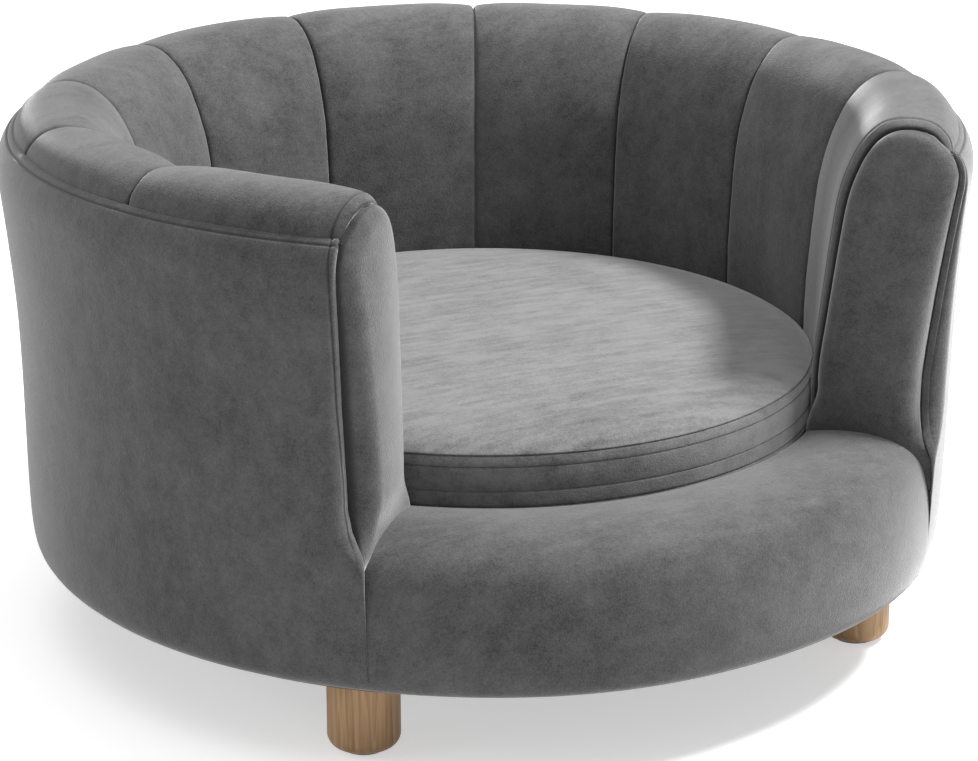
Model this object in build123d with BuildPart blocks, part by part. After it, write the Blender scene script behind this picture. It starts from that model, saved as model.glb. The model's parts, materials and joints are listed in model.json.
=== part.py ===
from build123d import *
import math
import os

# Round upholstered dog sofa: a tub with a channel-tufted wall that is open at the front, a low
# padded front rail, a loose round seat cushion and four turned legs.
# Millimetres, +Z up. The origin is on the floor under the middle of the tub; the opening faces -Y.

# Cloth and boards
cloth_thickness = 2.5       # velvet with its wadding
panel_thickness = 4.0       # bent hardboard
board_thickness = 12.0      # plywood of the base and the deck
lining_thickness = 1.0      # non-woven dust cover under the base
stud_thickness = 18.0
rail_board_thickness = 15.0
fit_gap = 0.5               # play round hidden boards
rest_gap = 0.3              # between the loose cushion and the deck

# Legs
leg_radius = 25.0
leg_show = 58.0             # wood that shows between glide and tub
leg_edge_radius = 9.0
leg_margin = 7.0            # between a leg and the cloth turned under the base
leg_turn = 45.0             # angle from the front or the back to a leg
glide_inset = 0.5           # the glide stands back from the edge of the leg's flat foot
glide_thickness = 2.0
glide_edge = 0.6
bolt_radius = 4.0
bolt_depth = 28.0           # of the bolt in the leg
bolt_chamfer = 1.0
nut_wall = 1.2              # round the bolt
nut_end_gap = 2.0           # board left under the nut's barrel
nut_flange_radius = 11.0
nut_flange_thickness = 1.5

# Tub
wall_width = 93.0           # from the seams between the channels to the widest line outside
outer_flare = 11.0          # how much wider that line is than the underside
bottom_edge_radius = 12.0
tuck_width = 20.0           # cloth turned under the base
rib_height = 67.0           # of the two crossed ribs that carry the deck
well_depth = 228.5          # deck to the seams on top of the wall
well_radius = 252.0         # to the seams between the channels
channel_foam = 24.0         # foam behind a seam
channel_crown = 10.5        # how far a channel stands out past its seams
crest_crown = 5.0           # the same on top of the wall
inner_roll_rise = 92.0      # height over which the wall curves outward
outer_roll_drop = 32.0      # from the top down to the widest place
crest_share = 0.61          # of the wall's thickness that lies inside its highest line
seam_turn = 40.0            # where the outer top seam lies on the outer curve
seam_depth = 14.0           # of the foam's blunt end at that seam
roll_foam = 26.0            # foam of the channels on top of the wall
channel_turn = 26.6         # angle of a channel
end_channel_turn = 30.1     # the two channels beside the arm ends are wider
side_channels = 5           # channels on each side of the back seam
stud_count = 5
stud_spread = 100.0         # angle from the back to the outermost studs
roll_sections = 9           # steps of the lofted channels up to the highest line
drop_sections = 5           # and from there down to the outer seam

# Arm ends
cap_thickness = 10.0
cap_border = 2.0            # straight edge between the cap's seam and its rounding

# Front rail
rail_rise = 12.5            # deck to the highest line of the rail
rail_outer_rise = 48.0      # height of the outer rounding, and foam on the rail's batten
rail_crest_share = 0.41     # of the rail's width that lies inside its highest line

# Seat cushion
cushion_gap = 1.5           # between the cushion and the wall round it
cushion_cloth = 1.6
cushion_bottom_rise = 7.0   # from the flat underside to the lower seam
cushion_bottom_round = 26.0 # width of the curve at the underside
welt_height = 9.5           # flat welt sewn along each seam
boxing_height = 17.0        # band between the two welts
cushion_notch = 1.4         # how deep the seams are drawn in
shoulder_width = 30.0       # from the upper seam to the shoulder of the dome
shoulder_rise = 11.0
dome_rise = 7.0             # from the shoulder to the middle of the dome

# Zip at the back of the cushion
zip_turn = 130.0
zip_margin = 3.0            # boxing left above and below the zip
zip_sink = 0.7              # how far the slider lies inside the boxing's face
tape_thickness = 1.0
coil_height = 5.0
coil_thickness = 0.7
slider_length = 13.0
slider_wall = 2.0           # above and below the coil
pull_thickness = 1.0
pull_length = 24.0
pull_hole_radius = 1.2
pull_hole_share = 0.25      # of the pull's length, from its free end to the hole
slider_gap = 0.2
slider_end_turn = 1.0       # angle between the zip's end and the pull

# Heights worked out from the floor up
underside = glide_thickness + leg_show
base_bottom = underside + cloth_thickness
base_top = base_bottom + board_thickness
deck_bottom = base_top + rib_height
deck_top = deck_bottom + board_thickness
crest_height = deck_top + well_depth
roll_start = crest_height - inner_roll_rise
widest_height = crest_height - outer_roll_drop
rail_crest = deck_top + rail_rise
rail_batten_top = rail_crest - rail_outer_rise
cushion_bottom = deck_top + rest_gap
lower_seam = cushion_bottom + cushion_bottom_rise
upper_seam = lower_seam + 2 * welt_height + boxing_height

# Sizes worked out from the pieces that they fit
nut_barrel_radius = bolt_radius + nut_wall
nut_barrel_length = board_thickness - nut_flange_thickness - nut_end_gap
cap_edge_radius = cap_thickness - cap_border
cushion_crown = shoulder_rise + dome_rise
zip_height = boxing_height - 2 * zip_margin
zip_depth = tape_thickness + coil_thickness + slider_gap + pull_thickness + zip_sink
slider_height = coil_height + 2 * slider_wall

# Radii and angles worked out from the sizes
outer_top_radius = well_radius + wall_width
outer_bottom_radius = outer_top_radius - outer_flare
crest_radius = well_radius + crest_share * wall_width
panel_radius = well_radius + channel_foam
wall_half_turn = (side_channels - 1) * channel_turn + end_channel_turn
wall_turn = 2 * wall_half_turn
rail_turn = 360 - wall_turn
back_angle = 90
front_angle = back_angle + 180
wall_start = back_angle - wall_half_turn
rail_start = front_angle - rail_turn / 2
rail_inner_radius = well_radius - channel_crown
cushion_radius = rail_inner_radius - cushion_gap
leg_ring_radius = outer_bottom_radius - tuck_width - leg_margin - leg_radius
glide_radius = leg_radius - leg_edge_radius - glide_inset
taper = outer_flare / (widest_height - underside)


def outer_radius(height, inset=0.0):
    """Radius of the tub's slightly flared outside at a height, less an inset."""
    return outer_bottom_radius + taper * (height - underside) - inset


def radial_plane(angle):
    """Plane through the middle of the tub, with X outward at the angle and Y upward."""
    turn = math.radians(angle)
    return Plane(
        origin=(0, 0, 0),
        x_dir=(math.cos(turn), math.sin(turn), 0),
        z_dir=(math.sin(turn), -math.cos(turn), 0),
    )


def polar(radius, angle, height=0.0):
    """Point at a radius and an angle."""
    turn = math.radians(angle)
    return (radius * math.cos(turn), radius * math.sin(turn), height)


def save(builder, name):
    """Labels a finished piece and writes it."""
    builder.part.label = name
    export_step(builder.part, f"parts/{name}.step")


os.makedirs("parts", exist_ok=True)

# Glides, legs, hanger bolts and T-nuts
leg_angles = {
    "front_left": front_angle - leg_turn,
    "front_right": front_angle + leg_turn,
    "back_right": back_angle - leg_turn,
    "back_left": back_angle + leg_turn,
}
nut_flange_bottom = base_top - nut_flange_thickness
bolt_top = nut_flange_bottom
bolt_bottom = base_bottom - bolt_depth
leg_length = base_bottom - glide_thickness

for place, angle in leg_angles.items():
    foot = Plane(polar(leg_ring_radius, angle))

    with BuildPart(foot) as glide:
        Cylinder(glide_radius, glide_thickness, align=(Align.CENTER, Align.CENTER, Align.MIN))
        fillet(glide.edges().group_by(Axis.Z)[0], glide_edge)
    save(glide, f"glide_{place}")

    with BuildPart(foot.offset(glide_thickness)) as leg:
        Cylinder(leg_radius, leg_length, align=(Align.CENTER, Align.CENTER, Align.MIN))
        fillet(leg.edges().group_by(Axis.Z)[0], leg_edge_radius)
        with Locations((0, 0, leg_length)):
            Hole(bolt_radius, bolt_depth)
    save(leg, f"leg_{place}")

    with BuildPart(foot.offset(bolt_bottom)) as bolt:
        Cylinder(bolt_radius, bolt_top - bolt_bottom, align=(Align.CENTER, Align.CENTER, Align.MIN))
        chamfer(bolt.edges().group_by(Axis.Z)[0], bolt_chamfer)
    save(bolt, f"hanger_bolt_{place}")

    with BuildPart(foot.offset(base_top)) as nut:
        Cylinder(nut_flange_radius, nut_flange_thickness, align=(Align.CENTER, Align.CENTER, Align.MAX))
        Cylinder(
            nut_barrel_radius,
            nut_flange_thickness + nut_barrel_length,
            align=(Align.CENTER, Align.CENTER, Align.MAX),
        )
        Hole(bolt_radius)
    save(nut, f"t_nut_{place}")

leg_points = [polar(leg_ring_radius, angle) for angle in leg_angles.values()]

# Base board, with its lower edge rounded like the cloth over it
base_radius = outer_radius(base_bottom, cloth_thickness + fit_gap)
with BuildPart(Plane.XY.offset(base_bottom)) as base_board:
    Cylinder(base_radius, board_thickness, align=(Align.CENTER, Align.CENTER, Align.MIN))
    fillet(base_board.edges().group_by(Axis.Z)[0], bottom_edge_radius - cloth_thickness)
    with Locations([(x, y, board_thickness) for x, y, z in leg_points]):
        CounterBoreHole(nut_barrel_radius, nut_flange_radius, nut_flange_thickness)
save(base_board, "base_board")

# Dust cover under the base
lining_radius = outer_bottom_radius - bottom_edge_radius - fit_gap
with BuildPart() as dust_cover:
    with BuildSketch(Plane.XY.offset(underside - lining_thickness)):
        Circle(lining_radius)
        with Locations([(x, y) for x, y, z in leg_points]):
            Circle(leg_radius + fit_gap, mode=Mode.SUBTRACT)
    extrude(amount=lining_thickness)
save(dust_cover, "dust_cover")

# Two crossed ribs, halved into each other, carry the deck
rib_length = 2 * (panel_radius - fit_gap)
for name, length, width, slot_height in (
    ("deck_rib_across", rib_length, board_thickness, rib_height),
    ("deck_rib_along", board_thickness, rib_length, 0),
):
    with BuildPart(Plane.XY.offset(base_top)) as rib:
        Box(length, width, rib_height, align=(Align.CENTER, Align.CENTER, Align.MIN))
        with Locations((0, 0, slot_height)):
            Box(board_thickness, board_thickness, rib_height, mode=Mode.SUBTRACT)
    save(rib, name)

# Deck board under the cushion
with BuildPart(Plane.XY.offset(deck_bottom)) as seat_deck:
    Cylinder(panel_radius - fit_gap, board_thickness, align=(Align.CENTER, Align.CENTER, Align.MIN))
save(seat_deck, "seat_deck")

# Bent panels, batten ring and studs of the wall
with BuildPart() as inner_panel:
    with BuildSketch(radial_plane(wall_start)):
        with Locations((panel_radius, base_top)):
            Rectangle(panel_thickness, roll_start - base_top, align=(Align.MIN, Align.MIN))
    revolve(axis=Axis.Z, revolution_arc=wall_turn)
save(inner_panel, "inner_panel")


def skin_strip(bottom, top, inset, thickness):
    """Outline of a strip that runs along the flared outside, between two heights."""
    with BuildSketch(Plane.XY) as strip:
        with BuildLine():
            Polyline(
                (outer_radius(bottom, inset), bottom),
                (outer_radius(top, inset), top),
                (outer_radius(top, inset + thickness), top),
                (outer_radius(bottom, inset + thickness), bottom),
                close=True,
            )
        make_face()
    return strip.sketch


def fill_strip(bottom, top, inner, inset):
    """Outline between a radius and the flared outside, between two heights."""
    with BuildSketch(Plane.XY) as strip:
        with BuildLine():
            Polyline(
                (inner, bottom),
                (outer_radius(bottom, inset), bottom),
                (outer_radius(top, inset), top),
                (inner, top),
                close=True,
            )
        make_face()
    return strip.sketch


with BuildPart() as outer_panel:
    with BuildSketch(radial_plane(wall_start)):
        add(skin_strip(base_top, roll_start, cloth_thickness, panel_thickness))
    revolve(axis=Axis.Z, revolution_arc=wall_turn)
save(outer_panel, "outer_panel")

behind_inner_panel = panel_radius + panel_thickness
behind_outer_panel = cloth_thickness + panel_thickness
stud_inner_radius = behind_inner_panel + fit_gap
stud_inset = behind_outer_panel + fit_gap
top_rail_bottom = roll_start - rail_board_thickness
with BuildPart() as top_rail:
    with BuildSketch(radial_plane(wall_start)):
        add(fill_strip(top_rail_bottom, roll_start, behind_inner_panel, behind_outer_panel))
    revolve(axis=Axis.Z, revolution_arc=wall_turn)
save(top_rail, "top_rail")

for number in range(stud_count):
    spread = number / (stud_count - 1) * 2 - 1
    with BuildPart() as stud:
        with BuildSketch(radial_plane(back_angle + spread * stud_spread)):
            add(fill_strip(base_top, top_rail_bottom, stud_inner_radius, stud_inset))
        extrude(amount=stud_thickness / 2, both=True)
    save(stud, f"wall_stud_{number + 1}")

for side, angle, way in (("right", wall_start, -1), ("left", wall_start + wall_turn, 1)):
    with BuildPart() as arm_board:
        with BuildSketch(radial_plane(angle)):
            add(fill_strip(base_top, top_rail_bottom, stud_inner_radius, stud_inset))
        extrude(amount=way * rail_board_thickness)
    save(arm_board, f"arm_board_{side}")

# Outlines of the wall top
outer_roll_width = outer_top_radius - crest_radius
outer_roll_center = (crest_radius, widest_height)
seam_height = widest_height + outer_roll_drop * math.sin(math.radians(seam_turn))
seam_radius = crest_radius + outer_roll_width * math.cos(math.radians(seam_turn))
under_seam_turn = math.degrees(
    math.asin((seam_height - widest_height) / (outer_roll_drop - cloth_thickness))
)
under_seam_radius = crest_radius + (outer_roll_width - cloth_thickness) * math.cos(
    math.radians(under_seam_turn)
)
roll_core_center = (crest_radius, roll_start)
roll_core_width = crest_radius - panel_radius
roll_core_rise = inner_roll_rise - roll_foam


def under_cloth_arc():
    """Inside of the outer cloth where it turns in to the top seam."""
    return EllipticalCenterArc(
        outer_roll_center,
        outer_roll_width - cloth_thickness,
        outer_roll_drop - cloth_thickness,
        0,
        arc_size=under_seam_turn,
    )


# Outer cloth of the wall, from the tuck under the base to the top seam
with BuildPart() as outer_cover:
    with BuildSketch(radial_plane(wall_start)):
        with BuildLine():
            FilletPolyline(
                (outer_bottom_radius - tuck_width, underside),
                (outer_bottom_radius, underside),
                (outer_top_radius, widest_height),
                radius=bottom_edge_radius,
            )
            EllipticalCenterArc(
                outer_roll_center, outer_roll_width, outer_roll_drop, 0, arc_size=seam_turn
            )
            Line((seam_radius, seam_height), (under_seam_radius, seam_height))
            under_cloth_arc()
            FilletPolyline(
                (outer_top_radius - cloth_thickness, widest_height),
                (outer_radius(base_bottom, cloth_thickness), base_bottom),
                (outer_bottom_radius - tuck_width, base_bottom),
                radius=bottom_edge_radius - cloth_thickness,
            )
            Line(
                (outer_bottom_radius - tuck_width, base_bottom),
                (outer_bottom_radius - tuck_width, underside),
            )
        make_face()
    revolve(axis=Axis.Z, revolution_arc=wall_turn)
save(outer_cover, "outer_cover")

# Foam roll on the wall frame, under the channels and the outer cloth
with BuildPart() as wall_roll:
    with BuildSketch(radial_plane(wall_start)):
        with BuildLine():
            EllipticalCenterArc(roll_core_center, roll_core_width, roll_core_rise, 90, arc_size=90)
            Polyline(
                (crest_radius, roll_start + roll_core_rise),
                (seam_radius - seam_depth, seam_height - fit_gap),
                (under_seam_radius, seam_height - fit_gap),
                (under_seam_radius, seam_height),
            )
            under_cloth_arc()
            Polyline(
                (outer_top_radius - cloth_thickness, widest_height),
                (outer_radius(roll_start, cloth_thickness), roll_start),
                (panel_radius, roll_start),
            )
        make_face()
    revolve(axis=Axis.Z, revolution_arc=wall_turn)
save(wall_roll, "wall_roll")


# Channels of the wall: each is lofted up the inside, over the top and down to the outer seam
last_turn = 180 - seam_turn


def channel_points(turn, start):
    """Seam point, back point and crown of a channel at a turn of the top's curve."""
    cos_turn = math.cos(math.radians(turn))
    sin_turn = math.sin(math.radians(turn))
    if turn <= 90:
        front = Vector(
            crest_radius - (crest_radius - well_radius) * cos_turn,
            start + inner_roll_rise * sin_turn,
        )
        back = Vector(
            crest_radius - (roll_core_width + fit_gap) * cos_turn,
            start + (roll_core_rise + fit_gap) * sin_turn,
        )
        return front, back, crest_crown + (channel_crown - crest_crown) * cos_turn
    front = Vector(
        crest_radius - outer_roll_width * cos_turn,
        widest_height + outer_roll_drop * sin_turn,
    )
    share = (turn - 90) / (last_turn - 90)
    back_top = Vector(crest_radius, roll_start + roll_core_rise + fit_gap)
    back_end = Vector(seam_radius - seam_depth, seam_height)
    return front, back_top + (back_end - back_top) * share, crest_crown * (1 - share)


sections = [(0, deck_top)]
for step in range(roll_sections + 1):
    sections.append((90 * step / roll_sections, roll_start))
for step in range(1, drop_sections + 1):
    sections.append((90 + (last_turn - 90) * step / drop_sections, roll_start))

seam_angles = [wall_start]
for number in range(2 * side_channels):
    outermost = number in (0, 2 * side_channels - 1)
    seam_angles.append(seam_angles[-1] + (end_channel_turn if outermost else channel_turn))

for number in range(2 * side_channels):
    middle = (seam_angles[number] + seam_angles[number + 1]) / 2
    half = math.radians(seam_angles[number + 1] - seam_angles[number]) / 2
    drop = 1 - math.cos(half)
    outward = radial_plane(middle).x_dir
    across = radial_plane(middle).z_dir
    with BuildPart() as channel:
        for turn, start in sections:
            front, back, crown = channel_points(turn, start)
            chord = Vector(front.X * math.cos(half), front.Y)
            to_front = chord - Vector(back.X * math.cos(half), back.Y)
            depth = to_front.length
            way = to_front.normalized()
            place = outward * chord.X + Vector(0, 0, chord.Y)
            up = outward * way.X + Vector(0, 0, way.Y)
            front_half = front.X * math.sin(half)
            back_half = back.X * math.sin(half)
            with BuildSketch(Plane(place, x_dir=across, z_dir=across.cross(up))):
                with BuildLine():
                    ThreePointArc(
                        (-front_half, 0),
                        (0, crown + front.X * drop * way.X),
                        (front_half, 0),
                    )
                    Line((front_half, 0), (back_half, -depth))
                    ThreePointArc(
                        (back_half, -depth),
                        (0, back.X * drop * way.X + fit_gap * way.Y - depth),
                        (-back_half, -depth),
                    )
                    Line((-back_half, -depth), (-front_half, 0))
                make_face()
        loft(ruled=True)
    save(channel, f"channel_{number + 1:02d}")


# Rounded outline of the front rail, less an inset, from the outer face over the top to the deck
rail_crest_radius = rail_inner_radius + rail_crest_share * (
    outer_radius(rail_batten_top) - rail_inner_radius
)
rail_inner_rise = rail_crest - deck_top


def rail_arcs(inset):
    """Outer and inner rounding of the front rail."""
    outer_arc = EllipticalCenterArc(
        (rail_crest_radius, rail_batten_top),
        outer_radius(rail_batten_top, inset) - rail_crest_radius,
        rail_outer_rise - inset,
        0,
        arc_size=90,
    )
    inner_arc = EllipticalCenterArc(
        (rail_crest_radius, deck_top),
        rail_crest_radius - rail_inner_radius - inset,
        rail_inner_rise - inset,
        90,
        arc_size=90,
    )
    return outer_arc, inner_arc


with BuildPart() as rail_inner_board:
    with BuildSketch(radial_plane(rail_start)):
        with Locations((panel_radius, base_top)):
            Rectangle(panel_thickness, deck_top - base_top, align=(Align.MIN, Align.MIN))
    revolve(axis=Axis.Z, revolution_arc=rail_turn)
save(rail_inner_board, "rail_inner_board")

with BuildPart() as rail_outer_board:
    with BuildSketch(radial_plane(rail_start)):
        add(skin_strip(base_top, rail_batten_top, cloth_thickness, panel_thickness))
    revolve(axis=Axis.Z, revolution_arc=rail_turn)
save(rail_outer_board, "rail_outer_board")

rail_batten_bottom = rail_batten_top - rail_board_thickness
with BuildPart() as rail_batten:
    with BuildSketch(radial_plane(rail_start)):
        add(fill_strip(rail_batten_bottom, rail_batten_top, behind_inner_panel, behind_outer_panel))
    revolve(axis=Axis.Z, revolution_arc=rail_turn)
save(rail_batten, "rail_batten")

with BuildPart() as rail_stud:
    with BuildSketch(radial_plane(front_angle)):
        add(fill_strip(base_top, rail_batten_bottom, stud_inner_radius, stud_inset))
    extrude(amount=stud_thickness / 2, both=True)
save(rail_stud, "rail_stud")

with BuildPart() as rail_pad:
    with BuildSketch(radial_plane(rail_start)):
        with BuildLine():
            rail_arcs(cloth_thickness)
            Polyline(
                (rail_inner_radius + cloth_thickness, deck_top),
                (behind_inner_panel, deck_top),
                (behind_inner_panel, rail_batten_top),
                (outer_radius(rail_batten_top, cloth_thickness), rail_batten_top),
            )
        make_face()
    revolve(axis=Axis.Z, revolution_arc=rail_turn)
save(rail_pad, "rail_pad")

with BuildPart() as rail_cover:
    with BuildSketch(radial_plane(rail_start)):
        with BuildLine():
            FilletPolyline(
                (outer_bottom_radius - tuck_width, underside),
                (outer_bottom_radius, underside),
                (outer_radius(rail_batten_top), rail_batten_top),
                radius=bottom_edge_radius,
            )
            rail_arcs(0)
            Line((rail_inner_radius, deck_top), (rail_inner_radius + cloth_thickness, deck_top))
            rail_arcs(cloth_thickness)
            FilletPolyline(
                (outer_radius(rail_batten_top, cloth_thickness), rail_batten_top),
                (outer_radius(base_bottom, cloth_thickness), base_bottom),
                (outer_bottom_radius - tuck_width, base_bottom),
                radius=bottom_edge_radius - cloth_thickness,
            )
            Line(
                (outer_bottom_radius - tuck_width, base_bottom),
                (outer_bottom_radius - tuck_width, underside),
            )
        make_face()
    revolve(axis=Axis.Z, revolution_arc=rail_turn)
save(rail_cover, "rail_cover")

# Padded caps on the arm ends, crowned toward the opening and seated on the rail
for side, angle, way in (("right", wall_start, 1), ("left", wall_start + wall_turn, -1)):
    with BuildPart() as arm_cap:
        with BuildSketch(radial_plane(angle)):
            with BuildLine():
                EllipticalCenterArc(
                    roll_core_center, crest_radius - well_radius, inner_roll_rise, 90, arc_size=90
                )
                EllipticalCenterArc(outer_roll_center, outer_roll_width, outer_roll_drop, 0, arc_size=90)
                Polyline(
                    (outer_top_radius, widest_height),
                    (outer_radius(rail_batten_top), rail_batten_top),
                    (well_radius, rail_batten_top),
                    (well_radius, roll_start),
                )
            make_face()
        extrude(amount=way * cap_thickness)
        front_face = arm_cap.faces().sort_by(Axis((0, 0, 0), radial_plane(angle).z_dir * way))[-1]
        fillet(front_face.edges().sort_by(Axis.Z)[1:], cap_edge_radius)
        with BuildSketch(radial_plane(rail_start)):
            with BuildLine():
                rail_arcs(0)
                Polyline(
                    (rail_inner_radius, deck_top),
                    (rail_inner_radius, underside),
                    (outer_top_radius, underside),
                    (outer_top_radius, rail_batten_top),
                    (outer_radius(rail_batten_top), rail_batten_top),
                )
            make_face()
        revolve(axis=Axis.Z, revolution_arc=rail_turn, mode=Mode.SUBTRACT)
    save(arm_cap, f"arm_cap_{side}")


# Seat cushion: a foam core in a cover of top, boxing and bottom
def cushion_outline(inset):
    """Half outline of the cushion, less an inset: flat below, welted sides and a domed top."""
    notch = cushion_radius - cushion_notch - inset
    bulge = cushion_radius - inset
    flat_radius = cushion_radius - cushion_bottom_round
    shoulder = cushion_radius - cushion_notch - shoulder_width
    dome = upper_seam + cushion_crown - inset
    dome_radius = (shoulder**2 + dome_rise**2) / (2 * dome_rise)
    dome_turn = math.degrees(math.asin(shoulder / dome_radius))
    heights = [lower_seam]
    for height in (welt_height, boxing_height, welt_height):
        heights.append(heights[-1] + height)
    with BuildSketch(Plane.XY) as outline:
        with BuildLine():
            Line((0, cushion_bottom + inset), (flat_radius, cushion_bottom + inset))
            EllipticalCenterArc(
                (flat_radius, lower_seam),
                cushion_bottom_round - cushion_notch - inset,
                cushion_bottom_rise - inset,
                270,
                arc_size=90,
            )
            for low, high in zip(heights, heights[1:]):
                ThreePointArc((notch, low), (bulge, (low + high) / 2), (notch, high))
            EllipticalCenterArc(
                (shoulder, upper_seam), shoulder_width - inset, shoulder_rise - inset, 0, arc_size=90
            )
            CenterArc((0, dome - dome_radius), dome_radius, 90 - dome_turn, arc_size=dome_turn)
            Line((0, dome), (0, cushion_bottom + inset))
        make_face()
    return outline.sketch


zip_radius = cushion_radius - zip_depth
zip_middle = (lower_seam + upper_seam) / 2
zip_start = back_angle - zip_turn / 2


def zip_strip(inner, outer, height, start, turn):
    """Curved strip along the zip."""
    with BuildPart() as strip:
        with BuildSketch(radial_plane(start)):
            with Locations((inner, zip_middle)):
                Rectangle(outer - inner, height, align=(Align.MIN, Align.CENTER))
        revolve(axis=Axis.Z, revolution_arc=turn)
    return strip.part


zip_recess = zip_strip(zip_radius, cushion_radius, zip_height, zip_start, zip_turn)

with BuildPart() as cushion_core:
    with BuildSketch(radial_plane(front_angle)):
        add(cushion_outline(cushion_cloth))
    revolve(axis=Axis.Z)
    add(zip_recess, mode=Mode.SUBTRACT)
save(cushion_core, "cushion_core")

for name, low, high in (
    ("cushion_top", upper_seam, upper_seam + cushion_crown),
    ("cushion_boxing", lower_seam, upper_seam),
    ("cushion_bottom", cushion_bottom, lower_seam),
):
    with BuildPart() as cover_piece:
        with BuildSketch(radial_plane(front_angle)):
            add(cushion_outline(0))
            add(cushion_outline(cushion_cloth), mode=Mode.SUBTRACT)
            with Locations((0, low)):
                Rectangle(cushion_radius, high - low, align=(Align.MIN, Align.MIN), mode=Mode.INTERSECT)
        revolve(axis=Axis.Z)
        if name == "cushion_boxing":
            add(zip_recess, mode=Mode.SUBTRACT)
    save(cover_piece, name)

tape_radius = zip_radius + tape_thickness
coil_radius = tape_radius + coil_thickness
slider_outer_radius = coil_radius + slider_gap + pull_thickness
pull_turn = math.degrees(pull_length / slider_outer_radius)
slider_turn = math.degrees(slider_length / slider_outer_radius)
with BuildPart() as zip_tape:
    add(zip_strip(zip_radius, tape_radius, zip_height, zip_start, zip_turn))
save(zip_tape, "zip_tape")

with BuildPart() as zip_coil:
    add(zip_strip(tape_radius, coil_radius, coil_height, zip_start, zip_turn))
save(zip_coil, "zip_coil")

# The pull trails behind the slider, which runs away from the zip's start as it opens
pull_start = zip_start + slider_end_turn
slider_start = pull_start + pull_turn
slider_body = zip_strip(
    tape_radius + slider_gap, slider_outer_radius, slider_height, slider_start, slider_turn
)
coil_groove = zip_strip(
    tape_radius, coil_radius + slider_gap, coil_height + 2 * slider_gap, pull_start, pull_turn + slider_turn
)
with BuildPart() as zip_slider:
    add(slider_body)
    add(coil_groove, mode=Mode.SUBTRACT)
save(zip_slider, "zip_slider")

pull_strip = zip_strip(coil_radius + slider_gap, slider_outer_radius, coil_height, pull_start, pull_turn)
hole_way = radial_plane(pull_start + pull_hole_share * pull_turn).x_dir
with BuildPart() as zip_pull:
    add(pull_strip)
    with BuildSketch(Plane(hole_way * coil_radius + Vector(0, 0, zip_middle), z_dir=hole_way)):
        Circle(pull_hole_radius)
    extrude(amount=zip_depth, mode=Mode.SUBTRACT)
save(zip_pull, "zip_pull")

slider_travel = zip_turn - 2 * slider_end_turn - pull_turn - slider_turn
print("zip slider travel, degrees", round(slider_travel, 1))
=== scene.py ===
# %% [markdown]
# # A round dog sofa bed, dressed in velvet
# The CAD model gives every board, leg and bolt its place. This lesson adds what Blender is good
# at: soft velvet that rolls over foam, seams that pull in, and light that shows the nap of the
# cloth.

import json
import math

import bpy
import numpy as np
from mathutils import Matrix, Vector


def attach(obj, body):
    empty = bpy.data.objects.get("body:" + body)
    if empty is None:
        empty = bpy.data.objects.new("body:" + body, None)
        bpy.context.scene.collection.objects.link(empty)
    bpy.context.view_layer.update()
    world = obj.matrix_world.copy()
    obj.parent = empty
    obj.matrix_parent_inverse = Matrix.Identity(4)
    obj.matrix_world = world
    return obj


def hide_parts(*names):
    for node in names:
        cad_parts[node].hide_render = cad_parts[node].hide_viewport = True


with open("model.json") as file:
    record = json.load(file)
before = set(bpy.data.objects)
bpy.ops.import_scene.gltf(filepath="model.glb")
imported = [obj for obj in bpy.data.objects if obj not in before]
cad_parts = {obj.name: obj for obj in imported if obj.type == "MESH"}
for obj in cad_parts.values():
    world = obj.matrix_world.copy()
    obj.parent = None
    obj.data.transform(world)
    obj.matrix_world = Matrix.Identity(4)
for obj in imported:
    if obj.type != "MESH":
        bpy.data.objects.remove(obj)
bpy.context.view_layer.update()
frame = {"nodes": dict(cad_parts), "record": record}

# %% [markdown]
# ## Units and the way round the tub
# The sofa is measured in millimetres and Blender works in metres, so one value turns one into the
# other. The wall runs round an upright axis. A place on it is easiest to give as a turn from the
# back, a radius and a height, as an upholsterer would lay a tape round the tub.

# %% Places round the tub
MM = 0.001


def around(turn, radius, height):
    """Points for turns in degrees from the back, radii and heights in millimetres."""
    angle = np.radians(turn)
    points = [radius * np.sin(angle), radius * np.cos(angle), height + 0 * angle]
    return np.stack(points, axis=-1) * MM


def eased(share):
    """0 to 1 with a soft start and a soft end."""
    share = np.clip(share, 0, 1)
    return share * share * (3 - 2 * share)


def ridge(distance, width):
    """1 on a line, and next to nothing two widths away from it."""
    return np.exp(-(distance / width) ** 2)


print("straight back, 252 mm out and 300 mm up:", around(0, 252, 300))

# %% [markdown]
# ## A line bent like a lath
# A profile is noted as a few points where the hand would hold a thin lath. The lath then takes the
# smooth line between them. Blender's curves could do it too, but the channels need the line's
# length and its normal at many places, so the line is worked out here as points at even steps.

# %% Smooth lines through a few points
def columns_at(wanted, known, line):
    """The columns of a line, read off between its known places at the wanted ones."""
    return np.stack([np.interp(wanted, known, column) for column in line.T], axis=-1)


def smooth_line(points, count):
    """Points at even steps along a smooth line through the given ones, and their places on it."""
    held = np.array(points, float)
    held = np.vstack([2 * held[0] - held[1], held, 2 * held[-1] - held[-2]])
    steps = np.linspace(0, 1, 40, endpoint=False)[:, None]
    runs = []
    for a, b, c, d in zip(held, held[1:], held[2:], held[3:]):
        runs.append(0.5 * (2 * b + (c - a) * steps + (2 * a - 5 * b + 4 * c - d) * steps ** 2
                           + (3 * b - a - 3 * c + d) * steps ** 3))
    line = np.vstack(runs + [held[-2:-1]])
    length = np.concatenate([[0], np.cumsum(np.hypot(*np.diff(line[:, :2], axis=0).T))])
    places = np.linspace(0, length[-1], count)
    return columns_at(places, length, line), places


def normals_of(line):
    """Unit normals to the left of a line of radii and heights."""
    along = np.gradient(line[:, :2], axis=0)
    along /= np.linalg.norm(along, axis=1)[:, None]
    return np.stack([-along[:, 1], along[:, 0]], axis=-1)


print("a lath over a hump", smooth_line([(0, 0), (10, 5), (20, 0)], 5)[0].round(1).tolist())

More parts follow.
